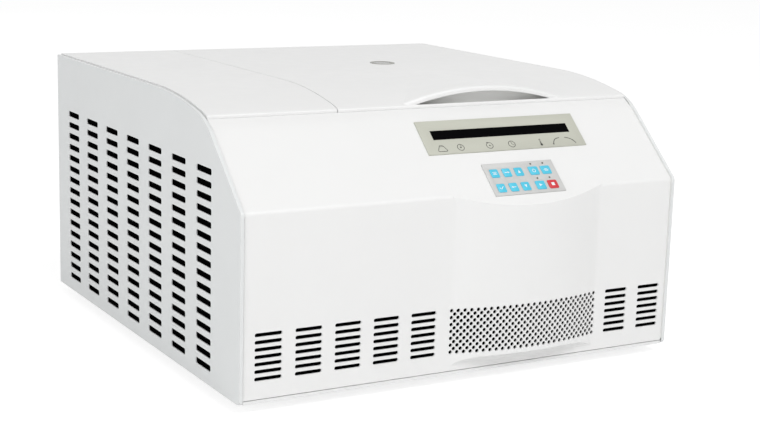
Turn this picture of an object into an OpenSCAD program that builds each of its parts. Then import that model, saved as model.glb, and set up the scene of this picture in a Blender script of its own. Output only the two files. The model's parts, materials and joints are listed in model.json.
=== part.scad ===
// Refrigerated bench-top microplate centrifuge with a back-hinged lid.
// X runs from left to right, Y from front to back and Z up.
// The origin is on the bench, under the middle of the machine.

/* [Cabinet] */
// Width over the two side panels
body_w = 710; // [704:1:730]
// Depth from the flat front to the back edge
body_d = 724; // [718:1:745]
// Height of the flat roof above the lower edge of the base
body_h = 387; // [383:1:395]
// Height of the rubber feet
foot_h = 14; // [8:1:25]
// Radius of a rubber foot
foot_r = 18; // [12:1:24]
// Distance of a foot's middle from the edges of the body
foot_inset = 85; // [70:1:120]
// Thickness of the sheet metal
sheet = 1.5; // [1:0.1:2]
// Wall of the moulded front, cover and lid
shell = 2.5; // [2:0.1:3]
// Gap between neighbouring panels
seam = 1; // [0.6:0.1:1.4]
// Width of the turned-in edge around a side panel
rim_w = 5; // [4:0.5:6]
// How far a side panel stands proud of the front
rim_proud = 2; // [1:0.5:3]
// How far a side panel stays below the roof
rim_drop = 2; // [1:0.5:3]
// Corner radius at the bottom of a side panel
corner_r = 7; // [5:0.5:10]
// Height of the base strip that shows under the front
strip_h = 4.5; // [3:0.5:6]

/* [Roof and slope] */
// Height of the bend between the upright front and the slope
kink_z = 255; // [250:1:260]
// Radius of that bend
kink_r = 8; // [4:1:12]
// Angle of the slope above the horizontal
slope_angle = 42.3; // [41.5:0.1:43]
// Radius of the nose where the slope turns into the roof
nose_r = 105; // [95:1:115]
// Radius of the gentle fall of the roof behind the nose
roof_r = 720; // [690:10:750]
// Angle at which the gentle fall meets the nose
roof_fall = 12.2; // [11.8:0.1:12.6]
// Distance from the front to the front edge of the lid and the cover
lid_front_y = 121; // [118:1:124]
// How far the lid and the cover stand proud of the slope
lip_proud = 6; // [4:0.5:7]
// Radius along the front edge of the lid and the cover
lip_r = 3; // [2:0.5:4]
// Gap between that edge and the slope
lip_gap = 0.4; // [0.3:0.1:0.8]
// Distance from the left edge to the joint between cover and lid
cover_w = 202; // [198:1:208]

/* [Bulge and vents] */
// Distance of the controls' middle line right of the machine's middle
panel_x = 93; // [90:1:96]
// How far the lower front bulges out
bulge_out = 18; // [14:1:20]
// Radius of the bulge, seen from above
bulge_r = 430; // [410:5:450]
// Radius of the hollow where the bulge meets the flat front
bulge_fillet = 30; // [20:1:40]
// Height of the bulge's lower edge
bulge_low = 24; // [22:1:26]
// Radius of the hollow under the bulge
under_r = 14; // [10:1:16]
// Pitch of the grille holes and of the rows of slots in the front
vent_pitch = 10; // [9.6:0.1:10.4]
// Height of the lowest row of grille holes and slots
vent_z = 33; // [32:0.5:36]
// Rows of holes and slots
vent_rows = 7; // [5:1:8]
// Diameter of a grille hole
hole_d = 5.6; // [4.6:0.1:6]
// Full columns of grille holes
hole_cols = 26; // [20:1:26]
// Length of a slot in the front
slot_l = 40; // [34:1:46]
// Height of a slot in the front
slot_h = 5.4; // [4.4:0.1:6]
// Pitch of the slot columns in the front
slot_pitch = 59.3; // [57:0.1:61]
// Length of a slot in the side panel
louvre_l = 50; // [44:1:56]
// Height of a slot in the side panel
louvre_h = 9; // [7:0.5:11]
// Pitch of the slot columns in the side panel
louvre_pitch_y = 88; // [84:1:92]
// Pitch of the slot rows in the side panel
louvre_pitch_z = 18; // [17:0.5:18.5]

/* [Display and keys] */
// Width of the display plate
display_w = 272; // [260:1:280]
// Height of the display plate along the slope
display_h = 60; // [56:1:64]
// Distance of the display plate's middle up the slope from the bend
display_s = 103; // [101:1:105]
// Width of the dark window
window_w = 236; // [220:1:244]
// Height of the dark window
window_h = 16.5; // [14:0.5:20]
// Distance of the window's middle above the plate's middle
window_up = 4; // [2:0.5:6]
// Width of the keypad plate
keypad_w = 120; // [116:1:126]
// Height of the keypad plate along the slope
keypad_h = 56; // [54:1:60]
// Distance of the keypad's middle up the slope from the bend
keypad_s = 22.5; // [21:0.5:24]
// Thickness of the display and keypad plates
plate_t = 1.6; // [1.4:0.1:2]
// Height of a key along the slope
key_h = 14.5; // [13:0.5:16]
// Width of a narrow key
key_w = 13.5; // [12:0.5:15]
// Width of a wide key
key_wide = 16; // [14:0.5:18]
// How far a key travels
key_travel = 0.4; // [0.2:0.1:0.6]
// How far a key stands proud of its plate
key_proud = 0.8; // [0.7:0.1:1]
// Gap around a key
key_gap = 0.2; // [0.15:0.05:0.3]
// Diameter of an indicator lamp
lamp_d = 2.8; // [2:0.1:3.2]

/* [Lid] */
// Height of the raised crest over the handle above the base
crest_z = 389.5; // [388.5:0.5:391]
// Radius of the raised arch over the handle
arch_r = 450; // [430:5:470]
// Height of the lid's lip along the arch
lip_h = 8; // [6:0.5:10]
// Depth of the finger space behind the lip
finger_d = 29; // [25:1:32]
// Height of the lid's lower edge above the deck
lid_gap = 5; // [4:0.5:7]
// Height of the hinge axis above the deck
hinge_up = 8; // [8:0.5:9]
// Distance of the hinge axis in front of the back edge
hinge_in = 13; // [13:0.5:14]
// Radius of a hinge knuckle
knuckle_r = 6.5; // [6:0.25:6.75]
// Radius of a hinge pin
pin_r = 4; // [3:0.25:4.5]
// Running clearance on a radius
run_gap = 0.05; // [0.02:0.01:0.08]
// Width of a hinge knuckle
knuckle_w = 20; // [16:1:26]
// Distance of each hinge from the middle of the lid
hinge_off = 170; // [140:5:190]
// Radius of the sight glass
glass_r = 16; // [14:0.5:18]
// Distance of the sight glass behind the front
glass_y = 448; // [440:1:456]

/* [Chamber and drive] */
// Height of the deck's top above the base
deck_z = 340; // [336:1:342]
// Room between the inside of the bowl and the sides of the lid's compartment
bowl_room = 23.5; // [22:0.5:34]
// Room between the latch and the insulation round the bowl
latch_room = 6; // [4:1:12]
// Depth of the chamber bowl below the deck
bowl_depth = 178; // [170:1:185]
// Wall of the chamber bowl
bowl_t = 1.5; // [1:0.1:2]
// Width of the chamber gasket
gasket_w = 9; // [7:0.5:10]
// Height of the chamber gasket
gasket_h = 10; // [9:0.5:12]
// Thickness of the insulation round the bowl
foam_t = 10; // [8:0.5:11]
// Radius of the drive shaft
shaft_r = 12; // [10:0.5:14]
// Radius of the drive motor
motor_r = 70; // [60:1:75]
// Height of the drive motor below its plate
motor_h = 88; // [70:1:92]

/* [Rotor] */
// Room between neighbouring carriers, where the rotor's arms are
carrier_gap = 16; // [14:0.5:22]
// Height of the carrier pivots above the deck's level, downwards
pivot_drop = 90; // [85:1:95]
// Radius of a carrier pin
trunnion_r = 5; // [4:0.25:5.5]
// Width of a plate pocket
pocket_w = 87; // [86.5:0.5:89]
// Length of a plate pocket
pocket_l = 129; // [128.5:0.5:130]
// Wall of a plate carrier
carrier_t = 3; // [2.5:0.5:3.5]
// Depth of a carrier's floor below its pivot
carrier_drop = 38; // [34:1:40]
// Height of a carrier's rim above its pivot
carrier_rise = 10; // [9:0.5:12]
// Thickness of the rotor's arms
arm_t = 20; // [16:1:24]

/* [Cooling] */
// Outer radius of the compressor
compressor_r = 62; // [54:1:66]
// Height of the compressor
compressor_h = 160; // [140:1:165]
// Radius of the condenser fan
fan_r = 88; // [76:1:92]
// Number of fan blades
fan_blades = 5; // [4:1:7]
// Side of the square condenser
condenser_side = 220; // [205:1:225]
// Outer diameter of the copper tube
tube_d = 8; // [6:0.5:9]

/* [Hidden] */
KEYS = [for (row = [1:2], col = [1:5]) str("key_", row, "_", col)];
CARRIERS = [for (i = [1:4]) str("plate_carrier_", i)];
$fn = 64;
white = "#e9eae8";
grey_white = "#dcdedd";
steel = "#b9bcc0";
dark = "#2b2c2e";

// Places that follow from the sizes above
front_y = -(body_d - bulge_out) / 2;
half_w = body_w / 2;
inner_x = half_w - rim_w - seam;
cover_x = cover_w - half_w;
back_y = body_d - 2;
lid_x0 = cover_x + seam;
lid_x1 = inner_x;
lid_mid_x = (lid_x0 + lid_x1) / 2;
skirt_z = deck_z + lid_gap;
hinge_y = body_d - hinge_in;
hinge_z = deck_z + hinge_up;
gasket_z = deck_z + bowl_t;
liner_z = gasket_z + gasket_h + 0.3;
liner_t = 3;
liner_y0 = lid_front_y + finger_d;
liner_y1 = hinge_y - knuckle_r - 2;
back_panel_top = hinge_z - knuckle_r - 7.5;
bowl_z = deck_z - bowl_depth;
pivot_z = deck_z - pivot_drop;
striker_y = liner_y0 + 24;
latch_back = striker_y + 14;
deck_back = hinge_y - knuckle_r - 5;

// The chamber fills its compartment: the radius follows from its width and from its depth
coil_gap = 0.7;
flange_w = 13;
flange_room = 4;
foam_side = bowl_t + 2 * coil_gap + tube_d + foam_t;
chamber_x = lid_mid_x;
bowl_r = min(
    (lid_x1 - lid_x0) / 2 - bowl_room,
    (deck_back - flange_w - flange_room - latch_back - latch_room - foam_side) / 2);
chamber_y = latch_back + latch_room + foam_side + bowl_r;
coil_r = bowl_r + bowl_t + coil_gap + tube_d / 2;
foam_r = coil_r + tube_d / 2 + coil_gap;
motor_plate_z = bowl_z - 36;
motor_plate_t = 6;
buffer_h = 22;
stand_z = motor_plate_z - buffer_h;

// The body's own frame: Y from the flat front, Z from the lower edge of the base
module in_body() {
    translate([0, front_y, foot_h]) children();
}

// A (y, z) outline drawn out from x0 to x1
module along_x(x0, x1) {
    translate([x0, 0, 0]) rotate([90, 0, 90]) linear_extrude(height = x1 - x0) children();
}

// An (x, z) outline drawn out from y0 to y1
module along_y(y0, y1) {
    translate([0, y1, 0]) rotate([90, 0, 0]) linear_extrude(height = y1 - y0) children();
}

// A place on the slope: x from the controls' middle line, s up from the bend, Z out of the slope
module on_slope(x, s) {
    translate([panel_x + x, 0, kink_z]) rotate([slope_angle, 0, 0]) translate([0, s, 0]) children();
}

module box(a, b) {
    translate(a) cube(b - a);
}

module bar_x(x0, x1, y, z, r) {
    translate([x0, y, z]) rotate([0, 90, 0]) cylinder(r = r, h = x1 - x0);
}

// The roof outline: slope, nose arc, gentle arc and flat, moved inwards by i
function nose_z(h) = h - roof_r * (1 - cos(roof_fall)) - nose_r * cos(roof_fall);
function nose_y(h, k) =
    (nose_z(h) + nose_r * cos(slope_angle) - k) / tan(slope_angle) + nose_r * sin(slope_angle);
function roof_points(h, k, i, start = slope_angle) = concat(
    [for (j = [0:10]) let (t = start - (start - roof_fall) * j / 10)
        [nose_y(h, k) - (nose_r - i) * sin(t), nose_z(h) + (nose_r - i) * cos(t)]],
    [for (j = [1:8]) let (t = roof_fall * (1 - j / 8))
        [nose_y(h, k) + (roof_r - nose_r) * sin(roof_fall) - (roof_r - i) * sin(t),
         nose_z(h) - (roof_r - nose_r) * cos(roof_fall) + (roof_r - i) * cos(t)]]);
function slope_z(k, y, i) = k + y * tan(slope_angle) - i / cos(slope_angle);
function kink_points(k, y0, i, r) =
    let (z = slope_z(k, y0, i) - (r - i) * tan((90 - slope_angle) / 2))
    [for (j = [0:5]) let (t = 90 - (90 - slope_angle) * j / 5)
        [y0 + (r - i) * (1 - sin(t)), z + (r - i) * cos(t)]];
function side_outline(h, k, i, y0, z0, y1) = concat(
    [[y1, z0], [y0, z0]],
    kink_points(k, y0, i, kink_r),
    roof_points(h, k, i),
    [[y1, h - i]]);
function corner(y, z, r) = [for (t = [0:15:90]) [y + r * (1 - sin(t)), z + r * (1 - cos(t))]];

// A side panel's outline, proud of the slope and lower than the roof
rim_k = kink_z + rim_proud / cos(slope_angle);
function rim_outline(i) = concat(
    [[body_d - i, i]],
    corner(i - rim_proud, i, corner_r - i),
    kink_points(rim_k, i - rim_proud, i, kink_r + rim_proud),
    roof_points(body_h - rim_drop, rim_k, i),
    [[body_d - i, body_h - rim_drop - i]]);

module rounded_slot(l, h, r) {
    square([l - 2 * r, h], center = true);
    square([l, h - 2 * r], center = true);
    for (a = [-1, 1], b = [-1, 1])
        translate([a * (l / 2 - r), b * (h / 2 - r)]) circle(r = r);
}

module side_panel(columns, rows) {
    first_y = 116.5;
    first_z = 24.5;
    slot_corner = 3;
    difference() {
        union() {
            along_x(0, sheet) polygon(rim_outline(0));
            along_x(0, rim_w) difference() {
                polygon(rim_outline(0));
                polygon(rim_outline(sheet));
            }
        }
        along_x(-1, sheet + 1)
            for (c = columns, r = rows)
                translate([first_y + c * louvre_pitch_y, first_z + r * louvre_pitch_z])
                    rounded_slot(louvre_l, louvre_h, slot_corner);
    }
}

module left_side_panel() {
    color(grey_white) in_body() translate([-half_w, 0, 0]) side_panel([0:6], [0:15]);
}

module right_side_panel() {
    color(grey_white) in_body() mirror([1, 0, 0]) translate([-half_w, 0, 0])
        side_panel([4:6], [0:7]);
}

// Base tray: floor, turned-up edges and the strip that shows under the front
tray_edge = 22;
tray_t = 2;
module base_tray() {
    color(white) in_body() {
        difference() {
            box([-inner_x, shell + 1, 0], [inner_x, back_y - sheet - 0.5, tray_edge]);
            box([-inner_x + tray_t, shell + 1 + tray_t, tray_t],
                [inner_x - tray_t, back_y - sheet - 0.5 - tray_t, tray_edge + 1]);
            screw_holes();
            for (x = [-1, 1], y = [foot_inset, body_d - foot_inset])
                translate([x * (half_w - foot_inset), y, -1]) cylinder(r = 4, h = tray_t + 2);
        }
        box([-inner_x, 0, 0], [inner_x, shell + 1, strip_h]);
    }
}

module rubber_feet() {
    stud_r = 4;
    color(dark) translate([0, front_y, 0])
        for (x = [-1, 1], y = [foot_inset, body_d - foot_inset])
            translate([x * (half_w - foot_inset), y, 0]) {
                cylinder(r1 = foot_r - 2, r2 = foot_r, h = foot_h);
                cylinder(r = stud_r, h = foot_h + tray_t + 4);
            }
}

// The front: upright part, slope and the bulge under the controls
fillet_x = sqrt(2 * bulge_out * (bulge_r + bulge_fillet) - bulge_out * bulge_out);
fillet_angle = asin(fillet_x / (bulge_r + bulge_fillet));
bulge_back = 30;
function bulge_plan(i) = concat(
    [[-fillet_x, bulge_back]],
    [for (j = [0:3]) let (t = fillet_angle * j / 4)
        [(bulge_fillet + i) * sin(t) - fillet_x, (bulge_fillet + i) * cos(t) - bulge_fillet]],
    [for (j = [0:26]) let (t = fillet_angle * (1 - 2 * j / 26))
        [-(bulge_r - i) * sin(t), bulge_r - bulge_out - (bulge_r - i) * cos(t)]],
    [for (j = [3:-1:0]) let (t = fillet_angle * j / 4)
        [fillet_x - (bulge_fillet + i) * sin(t), (bulge_fillet + i) * cos(t) - bulge_fillet]],
    [[fillet_x, bulge_back]]);
function bulge_side(i) = concat(
    [[-bulge_out - 9, slope_z(kink_z, -bulge_out - 9, i)], [-bulge_out - 9, bulge_low + i]],
    [for (t = [0:15:90])
        [(under_r + i) * sin(t) - under_r, bulge_low - under_r + (under_r + i) * cos(t)]],
    [[bulge_back, bulge_low - under_r], [bulge_back, slope_z(kink_z, bulge_back, i)]]);

module bulge_form(i) {
    intersection() {
        translate([panel_x, 0, 0]) linear_extrude(height = body_h) polygon(bulge_plan(i));
        along_x(panel_x - fillet_x - 1, panel_x + fillet_x + 1) polygon(bulge_side(i));
    }
}

front_z0 = strip_h + seam;
module front_form(i, more) {
    intersection() {
        along_x(-inner_x - more, inner_x + more)
            polygon(side_outline(body_h, kink_z, i, i, front_z0 - more, body_d));
        box([-half_w, -1, 0], [half_w, lid_front_y + more, body_h]);
    }
    bulge_form(i);
}

module front_vents() {
    edge_gap = 42.3;
    right_gap = 36.2;
    right_pitch = 61;
    grille_half = (hole_cols - 1) / 2 * vent_pitch + (slot_l + hole_d) / 2;
    left_last = floor((panel_x - grille_half + half_w - edge_gap) / slot_pitch);
    right_last = floor((half_w - right_gap - panel_x - grille_half) / right_pitch);
    left_x = [for (c = [0:left_last]) edge_gap - half_w + c * slot_pitch];
    right_x = [for (c = [0:right_last]) half_w - right_gap - c * right_pitch];
    along_y(-1, shell + 1)
        for (x = concat(left_x, right_x), r = [0:vent_rows - 1])
            translate([x, vent_z + r * vent_pitch]) rounded_slot(slot_l, slot_h, slot_h / 2 - 0.1);
    for (half = [0, 1])
        for (c = [0:hole_cols - 1 - half], r = [0:vent_rows - 1 - half]) {
            arc = (c + half / 2 - (hole_cols - 1) / 2) * vent_pitch / bulge_r * 180 / PI;
            translate([panel_x + bulge_r * sin(arc), -bulge_out - 5, vent_z + (r + half / 2) * vent_pitch])
                rotate([-90, 0, 0]) cylinder(r = hole_d / 2, h = bulge_out + 15, $fn = 24);
        }
}

module front_panel() {
    flange_z = deck_z + 0.3;
    color(white) in_body() difference() {
        union() {
            difference() {
                front_form(0, 0);
                front_form(shell, 1);
            }
            intersection() {
                along_x(-inner_x, inner_x)
                    polygon(side_outline(body_h, kink_z, shell / 2, 0, flange_z, body_d));
                box([-half_w, lid_front_y - shell, 0], [half_w, lid_front_y, body_h]);
            }
        }
        front_vents();
    }
}

// Display and keypad on the slope
module display_plate() {
    color("#c8c9bc") in_body() on_slope(0, display_s) difference() {
        translate([-display_w / 2, -display_h / 2, 0]) cube([display_w, display_h, plate_t]);
        translate([-window_w / 2, window_up - window_h / 2, -1])
            cube([window_w, window_h, plate_t + 2]);
    }
}

module display_window() {
    glass_low = 0.3;
    color("#121417") in_body() on_slope(0, display_s + window_up)
        translate([-window_w / 2, -window_h / 2, 0])
            cube([window_w, window_h, plate_t - glass_low]);
}

key_x = [-45.4, -24.7, -4, 21.6, 42.7];
key_up = [10.4, -15.5];
function key_width(col) = col < 3 ? key_w : key_wide;
lamp_up = 12.4;
module keypad_plate() {
    color("#cfd0ce") in_body() on_slope(0, keypad_s) difference() {
        translate([-keypad_w / 2, -keypad_h / 2, 0]) cube([keypad_w, keypad_h, plate_t]);
        for (c = [0:4], r = [0:1])
            translate([key_x[c], key_up[r], -1])
                linear_extrude(height = plate_t + 2)
                    rounded_slot(key_width(c) + 2 * key_gap, key_h + 2 * key_gap, 2 + key_gap);
        for (c = [3, 4], r = [0:1])
            translate([key_x[c], key_up[r] + lamp_up, -1])
                cylinder(r = lamp_d / 2, h = plate_t + 2);
    }
}

module indicator_lamps() {
    color("#3c3f3c") in_body() on_slope(0, keypad_s)
        for (c = [3, 4], r = [0:1])
            translate([key_x[c], key_up[r] + lamp_up, 0])
                cylinder(r = lamp_d / 2, h = plate_t + 0.4);
}

module key(row, col) {
    bottom = key_travel + 0.1;
    tone = row == 2 && col == 5 ? "#cd1e2b" : "#4ccdeb";
    color(tone) in_body() on_slope(key_x[col - 1], keypad_s + key_up[row - 1])
        translate([0, 0, bottom])
            linear_extrude(height = plate_t + key_proud - bottom)
                rounded_slot(key_width(col - 1), key_h, 2);
}

module control_board() {
    board_gap = 14;
    board_t = 1.6;
    board_w = display_w - 32;
    board_h = display_h + 20;
    post_in = 6;
    chip_w = 22;
    chip_h = 16;
    module_h = window_h + 5.5;
    color("#2f6b3c") in_body() on_slope(0, display_s) translate([0, 0, -shell - board_gap]) {
        translate([-board_w / 2, -board_h / 2, 0]) cube([board_w, board_h, board_t]);
        for (x = [-1, 1], s = [-1, 1])
            translate([x * (board_w / 2 - post_in), s * (board_h / 2 - post_in), 0])
                cylinder(r = 3, h = board_gap);
        for (k = [-1.5:1:1.5])
            translate([k * board_w / 5 - chip_w / 2, -board_h / 4 - chip_h / 2, board_t])
                cube([chip_w, chip_h, 3]);
        translate([-window_w / 2 + 8, window_up - module_h / 2, board_t])
            cube([window_w - 16, module_h, 7]);
    }
}

// Cover over the cooling side, and the same form for the lid
cap_k = kink_z + lip_proud / cos(slope_angle);
cap_y = lid_front_y + lip_gap;
function cap_outline(i, z0) =
    let (y = cap_y + lip_r, t = asin((nose_y(body_h, cap_k) - y) / (nose_r - lip_r)),
         z = nose_z(body_h) + (nose_r - lip_r) * cos(t))
    concat(
        [[back_y - i, z0], [cap_y + i, z0]],
        [for (j = [0:4]) let (u = 90 - (90 - t) * j / 4)
            [y - (lip_r - i) * sin(u), z + (lip_r - i) * cos(u)]],
        roof_points(body_h, cap_k, i, t),
        [[back_y - i, body_h - i]]);
module cap_form(x0, x1, i, more) {
    along_x(x0 + i, x1 - i) polygon(cap_outline(i, skirt_z - more));
}

module top_cover() {
    color(white) in_body() difference() {
        cap_form(-inner_x, cover_x, 0, 0);
        cap_form(-inner_x, cover_x, shell, 1);
    }
}

// The raised arch over the handle, falling gently to the back
arch_tilt = 0.5;
arch_round = 5;
arch_l = back_y - cap_y;
module on_arch() {
    translate([panel_x, cap_y, 0]) rotate([-arch_tilt, 0, 0]) translate([0, 0, crest_z - arch_r])
        rotate([90, 0, 0]) mirror([0, 0, 1]) children();
}

module arch_form(i) {
    intersection() {
        on_arch() rotate_extrude($fn = 360) polygon(concat(
            [[0, arch_l], [0, i], [arch_r - arch_round, i]],
            [for (t = [15:15:90])
                [arch_r - arch_round + (arch_round - i) * sin(t),
                 arch_round - (arch_round - i) * cos(t)]],
            [[arch_r - i, arch_l]]));
        box([lid_x0 + i, cap_y + i, skirt_z], [lid_x1 - i, back_y - i, crest_z + 9]);
    }
}

module hinge_places() {
    for (side = [-1, 1]) translate([lid_mid_x + side * hinge_off, hinge_y, hinge_z]) children();
}

hinge_half = knuckle_w * 1.5 + 2;
module lid_shell() {
    color(white) in_body() difference() {
        union() {
            cap_form(lid_x0, lid_x1, 0, 0);
            arch_form(0);
        }
        cap_form(lid_x0, lid_x1, shell, 1);
        arch_form(shell);
        // Under the arch the front wall is open, so that fingers reach behind the lip
        intersection() {
            on_arch() translate([0, 0, -1]) cylinder(r = arch_r - lip_h, h = finger_d, $fn = 360);
            box([-half_w, lid_front_y, skirt_z - 1], [half_w, liner_y0, crest_z]);
        }
        // Notches in the back wall for the hinges
        hinge_places() box([-hinge_half, 4, -10], [hinge_half, hinge_in + 5, 11]);
        translate([glass_x, glass_y, body_h - 9]) cylinder(r = ring_r, h = 20);
    }
}

glass_x = lid_mid_x + 6;
ring_r = glass_r + 2;
module sight_glass_ring() {
    ring_lip = 2.5;
    ring_step = 1.5;
    color(dark) in_body() translate([glass_x, glass_y, 0]) rotate_extrude() polygon([
        [glass_r - ring_step, liner_z], [ring_r, liner_z], [ring_r, body_h],
        [ring_r + ring_lip, body_h], [ring_r + ring_lip, body_h + 0.8], [glass_r, body_h + 0.8],
        [glass_r, body_h - 3], [glass_r - ring_step, body_h - 3]]);
}

module sight_glass() {
    color("#3a4448") in_body() translate([glass_x, glass_y, body_h - 3])
        cylinder(r = glass_r, h = 3.2);
}

module lid_liner() {
    side_gap = 1.5;
    pan_r = arch_r - shell - 0.5;
    pan_y = 11;
    pan_t = 2;
    pan_round = 3;
    pan_x = sqrt(2 * arch_r * 30);
    color("#d9dbda") in_body() {
        difference() {
            box([lid_x0 + shell + side_gap, liner_y0, liner_z],
                [lid_x1 - shell - side_gap, liner_y1, liner_z + liner_t]);
            translate([glass_x, glass_y, liner_z - 1]) cylinder(r = ring_r, h = liner_t + 2);
        }
        // Hollow behind the lip, turned about the same axis as the arch
        intersection() {
            on_arch() rotate_extrude($fn = 360) polygon(concat(
                [for (t = [0:10:90])
                    [pan_r - pan_round + pan_round * cos(t), pan_y + pan_round * sin(t)]],
                [[arch_r - 60, pan_y + pan_round], [arch_r - 60, pan_y + pan_round - pan_t]],
                [for (t = [90:-10:0])
                    [pan_r - pan_round + (pan_round - pan_t) * cos(t), pan_y + (pan_round - pan_t) * sin(t)]]));
            box([panel_x - pan_x, cap_y + pan_y - 3, skirt_z], [panel_x + pan_x, liner_y0 + 4, crest_z]);
        }
        box([panel_x - pan_x, lid_front_y + pan_y + pan_round - 2, liner_z],
            [panel_x + pan_x, liner_y0 + 1, liner_z + liner_t]);
    }
}

// Hinges: fixed lugs on both sides of the lid's own knuckle
lug_gap = 0.4;
module hinge_brackets() {
    color(steel) in_body() hinge_places() difference() {
        for (side = [-1, 1]) translate([side * (knuckle_w + lug_gap), 0, 0]) {
            bar_x(-knuckle_w / 2, knuckle_w / 2, 0, 0, knuckle_r);
            box([-knuckle_w / 2, -knuckle_r, back_panel_top - hinge_z],
                [knuckle_w / 2, knuckle_r, 0]);
        }
        bar_x(-hinge_half, hinge_half, 0, 0, pin_r);
    }
}

module hinge_pins() {
    color("#8f9296") in_body() hinge_places()
        bar_x(-hinge_half + 2, hinge_half - 2, 0, 0, pin_r);
}

module lid_hinge_arms() {
    arm_l = 60;
    arm_z = liner_z - hinge_z;
    color(steel) in_body() hinge_places() difference() {
        union() {
            bar_x(-knuckle_w / 2 + washer_room, knuckle_w / 2 - washer_room, 0, 0, knuckle_r);
            box([-knuckle_w / 2 + washer_room, -arm_l, arm_z - 4],
                [knuckle_w / 2 - washer_room, 0, arm_z]);
        }
        bar_x(-knuckle_w, knuckle_w, 0, 0, pin_r + run_gap);
    }
}

// Friction washers round the pins, which hold the lid where it is put
washer_room = 4;
module hinge_washers() {
    washer_t = 1;
    count = 4;
    color("#7d8084") in_body() hinge_places() difference() {
        for (side = [-1, 1], j = [0:count - 1]) {
            near = knuckle_w / 2 + lug_gap - (j + 1) * washer_t;
            bar_x(side * (near + washer_t / 2) - washer_t / 2, side * (near + washer_t / 2) + washer_t / 2,
                  0, 0, knuckle_r - 0.4 - 0.6 * (j % 2));
        }
        bar_x(-knuckle_w, knuckle_w, 0, 0, pin_r);
    }
}

// Latch: a hook under the deck that turns into the striker's window
hook_y = striker_y - 20;
hook_z = deck_z - 40;
hook_w = 8;
hook_release = 30;
hook_pin_r = 3;
module lid_striker() {
    tip_z = deck_z - 26;
    color(steel) in_body() difference() {
        box([panel_x - 12, striker_y - 2, tip_z], [panel_x + 12, striker_y + 2, liner_z]);
        box([panel_x - 7, striker_y - 3, tip_z + 4], [panel_x + 7, striker_y + 3, tip_z + 18]);
    }
}

module latch_hook() {
    color("#8f9296") in_body() translate([panel_x, hook_y, hook_z]) rotate([hook_release, 0, 0])
        difference() {
            union() {
                bar_x(-hook_w / 2, hook_w / 2, 0, 0, 7);
                box([-hook_w / 2, -4, 0], [hook_w / 2, 4, 26]);
                box([-hook_w / 2, -4, 20], [hook_w / 2, 24, 26]);
            }
            bar_x(-hook_w, hook_w, 0, 0, hook_pin_r + run_gap);
        }
}

module latch_housing() {
    cheek = 3;
    half = 20;
    color("#5f6368") in_body() translate([panel_x, 0, 0]) {
        for (x = [-half, half - cheek])
            box([x, hook_y - 14, hook_z - 16], [x + cheek, latch_back, deck_z - sheet]);
        box([-half, hook_y - 14, hook_z - 16 - cheek], [half, latch_back, hook_z - 16]);
        bar_x(-half, half, hook_y, hook_z, hook_pin_r);
    }
}

module top_deck() {
    color(white) in_body() difference() {
        union() {
            box([cover_x + 0.5, lid_front_y - shell, deck_z - sheet], [inner_x, deck_back, deck_z]);
            box([cover_x + 0.5, deck_back - sheet, back_panel_top + 0.5], [inner_x, deck_back, deck_z]);
        }
        translate([chamber_x, chamber_y, deck_z - 5]) cylinder(r = bowl_r + bowl_t + 0.5, h = 10);
        box([panel_x - 16, striker_y - 6, deck_z - 5], [panel_x + 16, striker_y + 6, deck_z + 5]);
    }
}

module partition_wall() {
    color(steel) in_body() {
        box([cover_x - sheet - 1, lid_front_y + 6, tray_t], [cover_x - 1, back_y - 8, skirt_z - 2]);
        box([cover_x - sheet - 1, lid_front_y + 6, tray_t], [cover_x + 12, back_y - 8, tray_t + sheet]);
    }
}

// Back panel with its shelf under the hinges, the cooling slots and the cut-out for the inlet
inlet_x = inner_x - 79;
inlet_z = 60;
inlet_half = 28;
screw_r = 2;
module screw_places() {
    screw_in = 12;
    for (x = [screw_in - inner_x, cover_x + 93, inner_x - screw_in], z = [14 + tray_t, back_panel_top - 14])
        translate([x, back_y, z]) children();
    for (z = [120, 220], x = [screw_in - inner_x, inner_x - screw_in])
        translate([x, back_y, z]) children();
}

module screw_holes() {
    screw_places() rotate([90, 0, 0]) translate([0, 0, -2]) cylinder(r = screw_r + 0.2, h = 12);
}

module rear_panel() {
    panel_y = back_y - sheet;
    slot_in = 49;
    color(grey_white) in_body() difference() {
        union() {
            box([-inner_x, panel_y, tray_t], [inner_x, back_y, back_panel_top]);
            box([cover_x + 1, hinge_y - knuckle_r - 4, back_panel_top - sheet],
                [inner_x, back_y, back_panel_top]);
            box([-inner_x, panel_y, back_panel_top - 1], [cover_x - 1, back_y, skirt_z - 1]);
        }
        box([inlet_x - inlet_half, panel_y - 1, inlet_z - 16],
            [inlet_x + inlet_half, back_y + 1, inlet_z + 16]);
        along_y(panel_y - 1, back_y + 1)
            for (c = [0:2], r = [0:9])
                translate([slot_in - inner_x + c * 50, 90 + r * 18]) rounded_slot(34, 6, 2.9);
        screw_holes();
    }
}

module panel_screws() {
    head_r = 4;
    head_h = 1.6;
    color(steel) in_body() screw_places() rotate([90, 0, 0]) {
        translate([0, 0, -head_h]) difference() {
            cylinder(r = head_r, h = head_h);
            translate([-head_r, -0.5, -1]) cube([2 * head_r, 1, 1.8]);
            translate([-0.5, -head_r, -1]) cube([1, 2 * head_r, 1.8]);
        }
        cylinder(r = screw_r, h = 7);
    }
}

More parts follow.
